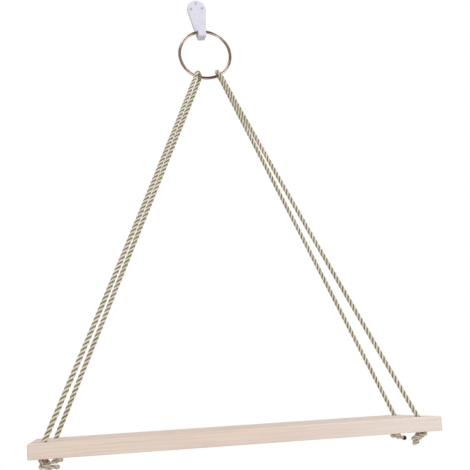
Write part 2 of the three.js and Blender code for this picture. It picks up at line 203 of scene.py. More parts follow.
def sanded_softwood(settings, hole_places):
    """Fir, planed, sanded and left bare: pale, matt, with fine lengthwise year rings on its faces and
    arcs on its sawn ends, some pinkish patches, and a darker skin in the drilled holes"""
    material, tree, shader = new_material('fine-sanded bare fir')
    where = add_node(tree, 'ShaderNodeTexCoord').outputs['Object']
    # The heart lies under the plank and behind its middle, a little out of line with it
    heart = add_node(tree, 'ShaderNodeMapping', inputs={
        'Vector': where, 'Location': HEART_SHIFT, 'Rotation': HEART_TURN})
    noises = []
    for cells, detail, roughness in (WANDER, UNEVENNESS, PATCHES, FIBRES):
        stretched = add_node(tree, 'ShaderNodeMapping', inputs={'Vector': where, 'Scale': cells})
        noises.append(add_node(tree, 'ShaderNodeTexNoise', inputs={
            'Vector': stretched, 'Scale': 1, 'Detail': detail, 'Roughness': roughness}))
    wander, uneven, patches, fibres = noises
    shifted = add_node(tree, 'ShaderNodeVectorMath', {'operation': 'MULTIPLY_ADD'}, {
        0: wander.outputs['Color'], 1: HEART_WANDER, 2: heart})
    rings = add_node(tree, 'ShaderNodeTexWave', {
        'wave_type': 'RINGS', 'rings_direction': 'X', 'wave_profile': 'SAW'}, {
        'Vector': shifted, 'Scale': WAVE_LENGTH / settings.ring_spacing,
        'Distortion': 0, 'Detail': 0})
    ring_line = add_node(tree, 'ShaderNodeValToRGB', None, {'Fac': rings.outputs['Fac']}, [
        (0, grey(0)), (0.55, grey(0.12)), (0.9, grey(1)), (1, grey(0.1))])
    # The rings show more in some places than in others
    unevenness = add_node(tree, 'ShaderNodeValToRGB', None, {'Fac': uneven}, [
        (0.35, grey(0.2)), (0.65, grey(0.95))])
    line_strength = add_node(tree, 'ShaderNodeMath', TIMES, {0: ring_line, 1: unevenness})
    wood = add_node(tree, 'ShaderNodeMix', MIXED, {
        'Factor': line_strength,
        'A': with_alpha(settings.early_wood), 'B': with_alpha(settings.late_wood)})
    patch = add_node(tree, 'ShaderNodeValToRGB', None, {'Fac': patches}, [
        (0.46, grey(0)), (0.66, grey(0.8))])
    blushed = add_node(tree, 'ShaderNodeMix', MIXED, {
        'Factor': patch, 'A': wood, 'B': with_alpha(settings.blush)})
    # Painted light: towards its right end the plank is painted paler and cooler, where the light falls
    # stronger
    apart = add_node(tree, 'ShaderNodeSeparateXYZ', inputs={'Vector': where})
    right_light = add_node(tree, 'ShaderNodeMapRange', inputs={
        'Value': apart.outputs['X'], 'From Min': RIGHT_LIGHT_START, 'From Max': RIGHT_LIGHT_FULL,
        'To Max': RIGHT_LIGHT_SHARE})
    paled = add_node(tree, 'ShaderNodeMix', MIXED, {
        'Factor': right_light, 'A': blushed, 'B': with_alpha(settings.right_light)})
    fibre_tone = add_node(tree, 'ShaderNodeValToRGB', None, {'Fac': fibres}, [
        (0.3, with_alpha(linear('#f5f2ef'))), (0.6, grey(1))])
    fibred = add_node(tree, 'ShaderNodeMix', DARKENED, {'Factor': 1.0, 'A': paled, 'B': fibre_tone})
    # The sawn ends are darker, because their grain is open, and so are the walls of the holes
    from_middle = add_node(tree, 'ShaderNodeMath', {'operation': 'ABSOLUTE'}, {0: apart.outputs['X']})
    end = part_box('plank')[1].x
    end_grain = add_node(tree, 'ShaderNodeMapRange', inputs={
        'Value': from_middle, 'From Min': end - SAWN_START * MM, 'From Max': end - SAWN_FULL * MM})
    flat = add_node(tree, 'ShaderNodeCombineXYZ', inputs={'X': apart.outputs['X'], 'Y': apart.outputs['Y']})
    nearest = None
    for place in hole_places:
        distance = add_node(tree, 'ShaderNodeVectorMath', {'operation': 'DISTANCE'}, {
            0: flat, 1: (*place, 0)})
        nearest = distance if nearest is None else add_node(
            tree, 'ShaderNodeMath', {'operation': 'MINIMUM'}, {0: nearest, 1: distance})
    hole_wall = add_node(tree, 'ShaderNodeMapRange', inputs={
        'Value': nearest, 'From Min': DRILLED_START * MM, 'From Max': DRILLED_FULL * MM})
    sawn, drilled = [
        add_node(tree, 'ShaderNodeMath', TIMES, {0: grain, 1: share})
        for grain, share in ((end_grain, SAWN_SHARE), (hole_wall, DRILLED_SHARE))]
    open_grain = add_node(tree, 'ShaderNodeMath', {'operation': 'MAXIMUM'}, {0: sawn, 1: drilled})
    finished = add_node(tree, 'ShaderNodeMix', MIXED, {
        'Factor': open_grain, 'A': fibred, 'B': with_alpha(settings.open_grain)})
    rough = add_node(tree, 'ShaderNodeMapRange', inputs={
        'Value': ring_line, 'To Min': 0.72, 'To Max': 0.58})
    relief = add_node(tree, 'ShaderNodeMath', {'operation': 'ADD'}, {0: fibres, 1: line_strength})
    bump = add_node(tree, 'ShaderNodeBump', inputs={
        'Height': relief, 'Strength': 0.35, 'Distance': 0.12 * MM})
    finish_material(tree, shader, finished, rough, bump)
    return material


# Cells of noise in a metre across, up and along the rope: for yarns of 0.6 mm that keep their colour for
# about 6 mm, and for paler and darker stretches of about 36 mm
YARN_CELLS, TONE_CELLS = (1700, 1700, 170), (150, 150, 28)
# How far the yarns push the edge of the painted shade in the grooves to and fro, as a share of its depth
RAGGED_EDGE = 0.34


def laid_rope(settings):
    """Three-strand polyester rope, laid right-handed: beige strands whose yarns run along the rope, with
    painted shade that darkens their sides and, olive-brown, the grooves between them, a dull sheen, and ends
    that are singed and melted shut"""
    material, tree, shader = new_material('laid polyester rope')
    groove_shade = add_node(tree, 'ShaderNodeAttribute', {'attribute_name': 'groove_shade'}).outputs['Fac']
    singe = add_node(tree, 'ShaderNodeAttribute', {'attribute_name': 'singe'}).outputs['Fac']
    along = add_node(tree, 'ShaderNodeAttribute', {'attribute_name': 'yarn'}).outputs['Vector']
    yarn_place = add_node(tree, 'ShaderNodeMapping', inputs={'Vector': along, 'Scale': YARN_CELLS})
    yarns = add_node(tree, 'ShaderNodeTexNoise', inputs={
        'Vector': yarn_place, 'Scale': 1, 'Detail': 2, 'Roughness': 0.6})
    tone_place = add_node(tree, 'ShaderNodeMapping', inputs={'Vector': along, 'Scale': TONE_CELLS})
    tone = add_node(tree, 'ShaderNodeTexNoise', inputs={'Vector': tone_place, 'Scale': 1})
    uneven_edge = add_node(tree, 'ShaderNodeMath', {'operation': 'MULTIPLY_ADD'}, {
        0: yarns, 1: RAGGED_EDGE, 2: -RAGGED_EDGE / 2})
    depth = add_node(tree, 'ShaderNodeMath', {'operation': 'ADD'}, {0: groove_shade, 1: uneven_edge})
    # Painted shade: the colour darkens from each strand's crown over its flanks to the grooves, by depth
    colour = add_node(tree, 'ShaderNodeValToRGB', None, {'Fac': depth}, [
        (0, with_alpha(settings.crown)), (0.3, with_alpha(settings.shaded_flank)),
        (0.62, with_alpha(settings.groove_shade))])
    fading = add_node(tree, 'ShaderNodeValToRGB', None, {'Fac': tone}, [
        (0.35, with_alpha(linear('#eff1eb'))), (0.65, grey(1))])
    toned = add_node(tree, 'ShaderNodeMix', DARKENED, {'Factor': 1.0, 'A': colour, 'B': fading})
    streaks = add_node(tree, 'ShaderNodeValToRGB', None, {'Fac': yarns}, [
        (0.34, grey(0.8)), (0.56, grey(1))])
    streaked = add_node(tree, 'ShaderNodeMix', DARKENED, {'Factor': 1.0, 'A': toned, 'B': streaks})
    melted = add_node(tree, 'ShaderNodeMix', MIXED, {
        'Factor': singe, 'A': streaked, 'B': with_alpha(settings.singed)})
    rough = add_node(tree, 'ShaderNodeMapRange', inputs={'Value': singe, 'To Min': 0.82, 'To Max': 0.35})
    # The yarns shade each other, so they mirror little
    shader.inputs['Specular IOR Level'].default_value = 0.15
    shader.inputs['Sheen Weight'].default_value = 0.12
    shader.inputs['Sheen Roughness'].default_value = 0.5
    bump = add_node(tree, 'ShaderNodeBump', inputs={
        'Height': yarns, 'Strength': 0.5, 'Distance': 0.25 * MM})
    finish_material(tree, shader, melted, rough, bump)
    return material


def mottled(name, own_colour, spot_colour, cells, detail, clean, rough, relief=None):
    """A material whose colour is darkened in spots, and whose roughness goes with them. The spots have so
    many cells in a metre, and end where the noise passes the clean level. The relief is a finer noise's
    cells in a metre, strength and height"""
    material, tree, shader = new_material(name)
    where = add_node(tree, 'ShaderNodeTexCoord').outputs['Object']
    noise = add_node(tree, 'ShaderNodeTexNoise', inputs={'Vector': where, 'Scale': cells, 'Detail': detail})
    spots = add_node(tree, 'ShaderNodeValToRGB', None, {'Fac': noise}, [
        (0.35, with_alpha(spot_colour)), (clean, grey(1))])
    colour = add_node(tree, 'ShaderNodeMix', DARKENED, {
        'Factor': 1.0, 'A': with_alpha(own_colour), 'B': spots})
    roughness = add_node(tree, 'ShaderNodeMapRange', inputs={
        'Value': noise, 'To Min': rough[0], 'To Max': rough[1]})
    bump = None
    if relief:
        fine_cells, strength, height = relief
        fine = add_node(tree, 'ShaderNodeTexNoise', inputs={
            'Vector': where, 'Scale': fine_cells, 'Detail': 1})
        bump = add_node(tree, 'ShaderNodeBump', inputs={
            'Height': fine, 'Strength': strength, 'Distance': height})
    finish_material(tree, shader, colour, roughness, bump)
    return material, shader


def polished_wire(settings):
    """Copper-gold brass wire, drawn, bent and polished: mirror-like, with stains of tarnish of about 7 mm
    and faint drawing lines of 0.4 mm. Its own colour is pale, because the warm room that it mirrors gives
    it most of its copper tone"""
    material, shader = mottled(
        'polished brass wire', settings.ring, linear('#dfd4cb'), cells=140, detail=3, clean=0.6,
        rough=(0.1, 0.26), relief=(2600, 0.1, 0.02 * MM))
    shader.inputs['Metallic'].default_value = 1
    return material


def moulded_plastic(settings):
    """Moulded polycarbonate, lavender white: smooth, with a soft gloss, faint clouds of about 5 mm and an
    orange-peel skin with a grain of 1 mm"""
    material, shader = mottled(
        'moulded lavender-white polycarbonate', settings.plastic, linear('#faf9fc'), cells=190, detail=2,
        clean=0.65, rough=(0.34, 0.46), relief=(900, 0.05, 0.04 * MM))
    shader.inputs['IOR'].default_value = 1.58
    return material


def zinc_coat(settings):
    """Hardened steel nails with a thin coat of zinc flakes in a clear binder, with scratches of 0.7 mm.
    The coat shines half like metal and half like paint"""
    material, shader = mottled(
        'zinc-coated hardened steel', settings.nails, linear('#ededed'), cells=1500, detail=2,
        clean=0.6, rough=(0.5, 0.7))
    shader.inputs['Metallic'].default_value = 0.5
    return material


# The shelf's own measures, in millimetres, as its solids have them

PLANK_LENGTH, PLANK_WIDTH, PLANK_THICKNESS = 420, 120, 15
EDGE_EASE = 1
WALL_GAP, SEAT_GAP, SADDLE_GAP, BIGHT_GAP = 0.5, 0.3, 0.35, 0.78
HOLE_DIAMETER, HOLE_FROM_LONG_EDGE = 8, 20
HOLE_FROM_END = {'frontLeft': 13.1, 'backLeft': 21.1, 'frontRight': 15.6, 'backRight': 9.3}
ROPE_DIAMETER, ROPE_DROP = 5, 419.4
RING_OUTER, WIRE = 67, 3.5
RING_LEAN, RING_ROLL = math.radians(3.5), math.radians(5)
HOOK_HEIGHT, HOOK_TILT = 53.6, math.radians(6)
# The hook's plate, slot and saddle, and the radius of the saddle's crown
PLATE, SLOT, SADDLE, CROWN = 4, 5.1, 6.35, 5.5
# A knot squeezes the rope to this share. Its strands come as near as this share of their spacing, which
# leaves so much room between them
KNOT_SQUEEZE, NEAREST_STRANDS, STRAND_ROOM = 0.64, 0.95, 0.45
KNOT_DIAMETER = KNOT_SQUEEZE * ROPE_DIAMETER
STRAND_SPACING = (KNOT_DIAMETER + STRAND_ROOM) / NEAREST_STRANDS
# How far a front leg bows towards the middle, and at what share of its length, from its foot
LEG_BOW, LEG_BOW_SHARE = 1.8, 0.55
# An overhand knot from the hole to the tail, in strand spacings
OVERHAND = [
    (0, -0.1, 1.2), (-0.05, -0.35, 0.55), (-0.1, -0.75, -0.05), (0.3, -1.22, -0.48), (1, -1.3, -0.75),
    (1.6, -0.88, -0.78), (1.78, -0.15, -0.56), (1.4, 0.42, -0.27), (0.7, 0.6, -0.05), (0, 0.64, 0.13),
    (-0.7, 0.42, 0.36), (-1.05, -0.2, 0.66), (-0.85, -0.92, 0.86), (-0.12, -1.3, 0.88),
    (0.6, -1.15, 0.6), (0.92, -0.65, 0.08), (0.8, -0.3, -0.58), (0.8, -0.08, -1.05),
]
TAILS = {
    'frontLeft': [(0.85, 0.6, -1.1), (0.85, 1.3, -0.95), (0.8, 2.1, -0.9), (0.75, 3.1, -1.15)],
    'backLeft': [(0.8, 0.3, -1.15), (0.85, 1, -1.15), (0.9, 1.6, -1.1)],
    'frontRight': [(0.95, -0.05, -1.5), (1.4, 0.05, -1.75), (2, 0.1, -1.95)],
    'backRight': [(0.8, 0.3, -1.15), (0.85, 1, -1.25), (0.9, 1.8, -1.45), (0.9, 2.5, -1.75)],
}
# Each knot's turn in degrees, its spread as a factor, and how far it is set off to the right
KNOT_TURNS = {'frontLeft': -83, 'backLeft': 97, 'frontRight': 155, 'backRight': -88}
KNOT_SPREADS = {'frontLeft': 1.08, 'backLeft': 1, 'frontRight': 1.22, 'backRight': 1.12}
KNOT_OFFSETS = {'frontLeft': 1.3, 'backLeft': 0, 'frontRight': 1.8, 'backRight': 0}
NAIL_HEAD, NAIL_HEAD_THICKNESS, NAIL_SHANK = 2.8, 0.9, 1.3
# How far a nail reaches into the wall, and how long its point is
NAIL_REACH, NAIL_POINT = 13, 2.2
NAIL_PLACES = {'nail_top': (0, 22.2), 'nail_left': (-7.1, 14.9), 'nail_right': (7.1, 14.9)}

SADDLE_CREST = -HOOK_HEIGHT / 2 + SADDLE
CROWN_CENTRE = Vector((0, -(PLATE + SLOT / 2), SADDLE_CREST - CROWN))
RING_RADIUS = (RING_OUTER - WIRE) / 2
RIGHT = Vector((1, 0, 0))
RING_DOWN = Vector((0, -math.sin(RING_LEAN), -math.cos(RING_LEAN)))
RING_FRONT = Vector((0, -math.cos(RING_LEAN), math.sin(RING_LEAN)))
CROWN_REACH = CROWN + SADDLE_GAP + WIRE / 2
RING_CENTRE = (CROWN_CENTRE + CROWN_REACH * Vector((-math.sin(RING_ROLL), 0, math.cos(RING_ROLL)))
               + RING_RADIUS * (math.sin(RING_ROLL) * RIGHT + math.cos(RING_ROLL) * RING_DOWN))
PLANK_TOP = RING_CENTRE.z - RING_RADIUS * math.cos(RING_LEAN) - WIRE / 2 - ROPE_DROP
UNDERSIDE = PLANK_TOP - PLANK_THICKNESS
PLANK_BACK = -WALL_GAP
PLANK_FRONT = PLANK_BACK - PLANK_WIDTH
HOLES = {
    corner: (
        (-1 if 'Left' in corner else 1) * (PLANK_LENGTH / 2 - inset),
        PLANK_FRONT + HOLE_FROM_LONG_EDGE if 'front' in corner else PLANK_BACK - HOLE_FROM_LONG_EDGE,
    )
    for corner, inset in HOLE_FROM_END.items()
}
# How far a knot's topmost strand stands above the knot's middle, in strand spacings
KNOT_RISE = 0.9
KNOT_MIDDLE = UNDERSIDE - SEAT_GAP - KNOT_DIAMETER / 2 - STRAND_SPACING * KNOT_RISE


# Rope routes

# How finely the routes are drawn: the steps in a leg and in a bight's half circle, and the millimetres
# between two points of a knot
LEG_STEPS, BIGHT_STEPS, KNOT_STEP = 160, 6, 0.5


def smooth_line(points, step):
    """A centripetal Catmull-Rom line through the points"""
    ends = [2 * points[0] - points[1], *points, 2 * points[-1] - points[-2]]
    line = []
    for p0, p1, p2, p3 in zip(ends, ends[1:], ends[2:], ends[3:]):
        d0, d1, d2 = [math.sqrt((b - a).length) for a, b in ((p0, p1), (p1, p2), (p2, p3))]
        t1 = ((p1 - p0) / d0 - (p2 - p0) / (d0 + d1) + (p2 - p1) / d1) * d1
        t2 = ((p2 - p1) / d1 - (p3 - p1) / (d1 + d2) + (p3 - p2) / d2) * d1
        count = max(2, math.ceil((p2 - p1).length / step))
        for i in range(count):
            t = i / count
            line.append(p1 + t1 * t + (3 * (p2 - p1) - 2 * t1 - t2) * t ** 2
                        + (2 * (p1 - p2) + t1 + t2) * t ** 3)
    return [*line, points[-1]]


def knot_route(corner):
    """From the tail through the overhand knot and the hole to the plank's top"""
    x, y = HOLES[corner]
    inwards = -math.copysign(1, x)
    low = x + inwards * ((HOLE_DIAMETER - KNOT_DIAMETER) / 2 - 2 * SEAT_GAP)
    high = x + inwards * ((HOLE_DIAMETER - ROPE_DIAMETER) / 2 - 2 * SEAT_GAP)
    spread = Matrix.Diagonal((KNOT_SPREADS[corner], KNOT_SPREADS[corner], 1))
    turn = Matrix.Rotation(math.radians(KNOT_TURNS[corner]), 3, 'Z') @ spread
    knot = []
    for i, place in enumerate((*OVERHAND, *TAILS[corner])):
        aside = KNOT_OFFSETS[corner] if i else 0
        knot.append(Vector((low + aside, y, KNOT_MIDDLE)) + turn @ Vector(place) * STRAND_SPACING)
    return [*reversed(knot), Vector((low, y, UNDERSIDE + PLANK_THICKNESS / 3)),
            Vector((high, y, PLANK_TOP - EDGE_EASE))]


def bight_route(angle, turn):
    """From the front leg over the ring's wire to the back leg. The angle is that of the crossing from the
    ring's lowest point, and the turn is how far off square it crosses the wire, both in degrees"""
    place = math.radians(angle)
    outwards = math.sin(place) * RIGHT + math.cos(place) * RING_DOWN
    along = math.cos(place) * RIGHT - math.sin(place) * RING_DOWN
    wire = RING_CENTRE + RING_RADIUS * outwards
    reach = (ROPE_DIAMETER + WIRE) / 2 + BIGHT_GAP
    across = reach * RING_FRONT - reach * math.tan(math.radians(turn)) * along
    arc = [wire + math.cos(a) * across - reach * math.sin(a) * outwards
           for a in (i * math.pi / BIGHT_STEPS for i in range(BIGHT_STEPS + 1))]
    return [arc[0] + ROPE_DIAMETER * outwards, *arc, arc[-1] + ROPE_DIAMETER * outwards]


def leg_route(foot, top, bow):
    """Up a leg, which a bow brings a little nearer to the middle"""
    pull = foot.lerp(top, LEG_BOW_SHARE) - Vector((math.copysign(2 * bow, foot.x), 0, 0))
    shares = [i / LEG_STEPS for i in range(LEG_STEPS + 1)]
    return [foot.lerp(pull, share).lerp(pull.lerp(top, share), share) for share in shares]


def rope_route(front, back, angle, turn):
    """The whole route in metres, from the front knot's tail to the back knot's"""
    front_knot, back_knot, bight = knot_route(front), knot_route(back), bight_route(angle, turn)

    def ends(top, bottom):
        direction = (bottom - top).normalized()
        return top + direction * ROPE_DIAMETER, bottom - direction * ROPE_DIAMETER

    front_top, front_foot = ends(bight[0], front_knot[-1])
    back_top, back_foot = ends(bight[-1], back_knot[-1])
    line = [
        *smooth_line([*front_knot, front_foot], KNOT_STEP),
        *leg_route(front_foot, front_top, LEG_BOW)[1:-1],
        *smooth_line([front_top, *bight, back_top], KNOT_STEP),
        *reversed(leg_route(back_foot, back_top, 0)[1:-1]),
        *smooth_line([back_foot, *reversed(back_knot)], KNOT_STEP),
    ]
    return [p * MM for p in line]


def stations(line, fine_ends, step):
    """Points along the line, close together at its two ends and a step apart between them"""
    runs = [0]
    for a, b in zip(line, line[1:]):
        runs.append(runs[-1] + (b - a).length)
    total = runs[-1]
    inner = total - 2 * fine_ends[-1]
    count = math.ceil(inner / step)
    wanted = [*fine_ends[:-1], *(fine_ends[-1] + inner * i / count for i in range(count + 1)),
              *(total - d for d in reversed(fine_ends[:-1]))]
    found, k = [], 0
    for run in wanted:
        while k < len(runs) - 2 and runs[k + 1] < run:
            k += 1
        found.append((run, line[k].lerp(line[k + 1], (run - runs[k]) / max(1e-9, runs[k + 1] - runs[k]))))
    return found, total


# Section of a laid rope: three round strands, as shares of the rope's radius
STRAND_OFFSET, STRAND_RADIUS, POINTS_PER_STRAND = 0.46, 0.54, 12
# Millimetres between two sections, and the places of the closer ones at an end
SECTION_STEP, END_SECTIONS = 1, (0.05, 0.2, 0.45, 0.8, 1.25, 1.8, 2.4, 3)
# Millimetres below the hook's middle where the legs begin to loosen, and where they are quite loose
LEG_START, LEG_FULL = 88, 102
# Length of the dome that closes an end, and the room between a knot and the plank, in millimetres
END_DOME, KNOT_ROOM = 2.4, 0.05
# Where, in millimetres past the melted length, an end begins to swell and is at its widest, and where
# its strands begin to run together and are one
SWELL_START, SWELL_FULL, MOLTEN_START, MOLTEN_FULL = 1.5, -1, 1, -0.6
# How much a melted end swells, how much more a black one does, and the reach of what has run together
MELTED_SWELL, BLACK_SWELL, MOLTEN_REACH = 0.04, 0.1, 0.95
# How much of the painted shade in the grooves shows where a knot pulls the strands together
KNOT_GROOVE_SHADE = 0.62


def section():
    """Radius and groove depth, both as shares, at each point round the rope"""
    around = []
    cusp = STRAND_OFFSET * math.cos(math.pi / 3) + math.sqrt(
        STRAND_RADIUS ** 2 - (STRAND_OFFSET * math.sin(math.pi / 3)) ** 2)
    for k in range(3 * POINTS_PER_STRAND):
        off = ((k / POINTS_PER_STRAND + 0.5) % 1 - 0.5) * 2 * math.pi / 3
        reach = STRAND_OFFSET * math.cos(off) + math.sqrt(
            STRAND_RADIUS ** 2 - (STRAND_OFFSET * math.sin(off)) ** 2)
        around.append((reach, (1 - reach) / (1 - cusp)))
    return around


def smoothstep(low, high, value):
    t = min(1, max(0, (value - low) / (high - low)))
    return t * t * (3 - 2 * t)


def rope_mesh(name, line, settings, fullness, ends):
    """A laid rope along the line. Its strands lie tight over the ring and looser in the legs, where
    fullness times the radius shows. For its first and its last end, ends says how black the end was
    singed and over how many millimetres it melted"""
    fine_ends = [d * MM for d in END_SECTIONS]
    places, total = stations(line, fine_ends, SECTION_STEP * MM)
    around = section()
    count = len(around)
    verts, groove_shade, yarn, singe = [], [], [], []
    normal = Vector((0, 0, 1))
    last = len(places) - 1
    knot_ceiling = (UNDERSIDE - KNOT_ROOM) * MM
    for i, (run, centre) in enumerate(places):
        tangent = (places[min(i + 1, last)][1] - places[max(i - 1, 0)][1]).normalized()
        if i == 0:
            normal = tangent.orthogonal()
        normal = (normal - normal.dot(tangent) * tangent).normalized()
        side = tangent.cross(normal)
        from_end = min(run, total - run)
        black, melt = ends[0] if run < total / 2 else ends[1]
        swell = smoothstep(UNDERSIDE * MM, PLANK_TOP * MM, centre.z)
        loose = 1 + (fullness - 1) * smoothstep(-LEG_START * MM, -LEG_FULL * MM, centre.z)
        radius = settings.knot_radius + (loose * settings.leg_radius - settings.knot_radius) * swell
        swollen = smoothstep((melt + SWELL_START) * MM, (melt + SWELL_FULL) * MM, from_end)
        radius *= 1 + (MELTED_SWELL + BLACK_SWELL * black) * swollen
        dome = math.sqrt(max(0, 1 - (1 - min(1, from_end / (END_DOME * MM))) ** 2))
        molten = smoothstep((melt + MOLTEN_START) * MM, (melt + MOLTEN_FULL) * MM, from_end)
        for k, (reach, depth) in enumerate(around):
            angle = 2 * math.pi * (k / count + run / settings.lay)
            out = normal * math.cos(angle) + side * math.sin(angle)
            share = reach + (MOLTEN_REACH - reach) * molten
            point = centre + out * radius * share * dome
            if centre.z < UNDERSIDE * MM:
                point.z = min(point.z, knot_ceiling)
            verts.append(point)
            # The depth into the grooves sets their painted shade, which is weaker in a knot and gone where
            # an end melted
            groove_shade.append(depth * (1 - molten) * (KNOT_GROOVE_SHADE + (1 - KNOT_GROOVE_SHADE) * swell))
            yarn.extend((math.cos(angle) * radius, math.sin(angle) * radius, run))
            singe.append(black * molten)
    for point, near in ((line[0], 0), (line[-1], len(verts) - count)):
        verts.append(point)
        groove_shade.append(0)
        yarn.extend(yarn[3 * near:3 * near + 3])
        singe.append(singe[near])
    faces = []
    for i in range(last):
        for k in range(count):
            a, b = i * count + k, i * count + (k + 1) % count
            faces.append((a, b, b + count, a + count))
    first_pole, last_pole = len(verts) - 2, len(verts) - 1
    for k in range(count):
        faces.append((first_pole, (k + 1) % count, k))
        faces.append((last_pole, last * count + k, last * count + (k + 1) % count))
    mesh = bpy.data.meshes.new(name)
    mesh.from_pydata(verts, [], faces)
    mesh.attributes.new('groove_shade', 'FLOAT', 'POINT').data.foreach_set('value', groove_shade)
    mesh.attributes.new('singe', 'FLOAT', 'POINT').data.foreach_set('value', singe)
    mesh.attributes.new('yarn', 'FLOAT_VECTOR', 'POINT').data.foreach_set('vector', yarn)
    mesh.shade_smooth()
    piece = bpy.data.objects.new(name, mesh)
    bpy.context.scene.collection.objects.link(piece)
    even = places[len(fine_ends) - 1:len(places) - len(fine_ends) + 1]
    return piece, total, [line[0], *(centre for _, centre in even), line[-1]]


# Help for modelling

def start_piece(name):
    """Names the primitive that was just added"""
    piece = bpy.context.object
    piece.name = piece.data.name = name
    return piece


def select_faces(piece, wanted):
    """In edit mode, selects the faces that wanted(centre, normal) picks, and only these"""
    bpy.ops.mesh.select_mode(type='FACE')
    bpy.ops.mesh.select_all(action='DESELECT')
    work = bmesh.from_edit_mesh(piece.data)
    picked = 0
    for face in work.faces:
        if wanted(face.calc_center_median(), face.normal):
            face.select_set(True)
            picked += 1
    bmesh.update_edit_mesh(piece.data)
    if not picked:
        raise RuntimeError(f"no face of {piece.name} was picked")


def finish_piece(piece, body, material, slot, *nodes):
    piece.data.materials.clear()
    piece.data.materials.append(material)
    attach(piece, body)
    if nodes:
        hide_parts(*nodes)


def dress(node, material):
    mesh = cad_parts[node].data
    mesh.materials.clear()
    mesh.materials.append(material)


# Operators

# The photograph's camera, as it was fitted to the plank, the holes, the legs, the ring and the hook: its
# place in metres, its turns in degrees, and in pixels the side of its square frame, its focal length and
# the middle of its view
CAMERA_PLACE = (-0.1488, -0.8843, -0.4697)
CAMERA_YAW, CAMERA_PITCH, CAMERA_ROLL = 10.39, 10.3, -3.48
FRAME_SIZE, FOCAL_LENGTH, VIEW_MIDDLE = 470, 762.3, (225, 258)
SENSOR_WIDTH = 36


class SHELF_OT_camera(bpy.types.Operator):
    """Places the camera where the photograph was taken from"""
    bl_idname = 'shelf.camera'
    bl_label = 'Camera'

    def execute(self, context):
        yaw, pitch, roll = [math.radians(turn) for turn in (CAMERA_YAW, CAMERA_PITCH, CAMERA_ROLL)]
        ahead = Vector((math.sin(yaw) * math.cos(pitch), math.cos(yaw) * math.cos(pitch), math.sin(pitch)))
        level = Vector((math.cos(yaw), -math.sin(yaw), 0))
        above = level.cross(ahead)
        across = math.cos(roll) * level + math.sin(roll) * above
        up = math.cos(roll) * above - math.sin(roll) * level
        lens = bpy.data.cameras.new('photograph')
        lens.sensor_width = SENSOR_WIDTH
        lens.lens = FOCAL_LENGTH * SENSOR_WIDTH / FRAME_SIZE
        lens.shift_x = (FRAME_SIZE / 2 - VIEW_MIDDLE[0]) / FRAME_SIZE
        lens.shift_y = (VIEW_MIDDLE[1] - FRAME_SIZE / 2) / FRAME_SIZE
        camera = bpy.data.objects.new('photograph', lens)
        camera.matrix_world = Matrix.Translation(CAMERA_PLACE) @ Matrix(
            (across, up, -ahead)).transposed().to_4x4()
        context.scene.collection.objects.link(camera)
        context.scene.camera = camera
        return {'FINISHED'}


# For each rope, its front and its back hole, the angle and the turn of its bight, how full its legs are,
# and for its front and its back end how black it was singed and over how many millimetres it melted
ROPES = {
    'rope_left': ('frontLeft', 'backLeft', -19.7, 28, 1.09, ((0.15, 2.2), (0.3, 2.2))),
    'rope_right': ('frontRight', 'backRight', 30.1, 6, 0.98, ((0.15, 2.2), (1, 4.4))),
}


class SHELF_OT_ropes(bpy.types.Operator):
    """Lays the two ropes from knot to knot, each over the ring's lower arc"""
    bl_idname = 'shelf.ropes'
    bl_label = 'Ropes'

    def execute(self, context):
        settings = context.scene.rope_shelf_rope
        material = laid_rope(settings)
        for name, (front, back, angle, turn, fullness, ends) in ROPES.items():
            line = rope_route(front, back, angle, turn)
            piece, length, path = rope_mesh('laid_' + name, line, settings, fullness, ends)
            finish_piece(piece, 'sling', material, 'rope', name)
        return {'FINISHED'}


# The room that glossy rays see, told by the unit direction in which a ray goes. It is fixed in the world.
# Bearings in it are taken round ROOM_AXIS, the direction from the photograph's camera to the ring, because
# each part of the wire mirrors one such bearing. The numbers below are where each thing begins and where
# it is full: the white backdrop, by the direction's Y; the window light in front and in the rear, by Y; and
# the side walls, by how level the bearing is. The window light's two strips have slants in degrees from
# level, and show where the sines of the angles to both slants have a small product
ROOM_AXIS = (0.15, 0, 0.43)
BACKDROP_START, BACKDROP_FULL = 0.93, 1
STRIP_SLANTS, STRIP_EDGE, STRIP_FULL = (56, 138), 0.36, 0.14
FRONT_EDGE, FRONT_FULL, REAR_EDGE, REAR_FULL = 0.5, 0.15, -0.85, -0.6
SIDES_START, SIDES_FULL = 0.3, 0.8
# Each lamp's place in metres, its size in metres and its power in watts, and the point that all face
LAMPS = {
    'softbox_right': ((0.9, -1.5, 0.35), 0.9, 8.5),
    'softbox_left': ((-1.2, -1.2, 0.1), 0.7, 3),
    'softbox_top': ((0.1, -0.5, 1.1), 0.9, 5),
}
LIT_POINT = (0, -0.06, -0.27)
# The floor's size and place, and where it begins to fade and has faded, in metres from its middle
FLOOR_SIZE, FLOOR_PLACE = 2.4, (0, -0.2, -0.78)
FADE_START, FADE_END = 0.85, 1.15


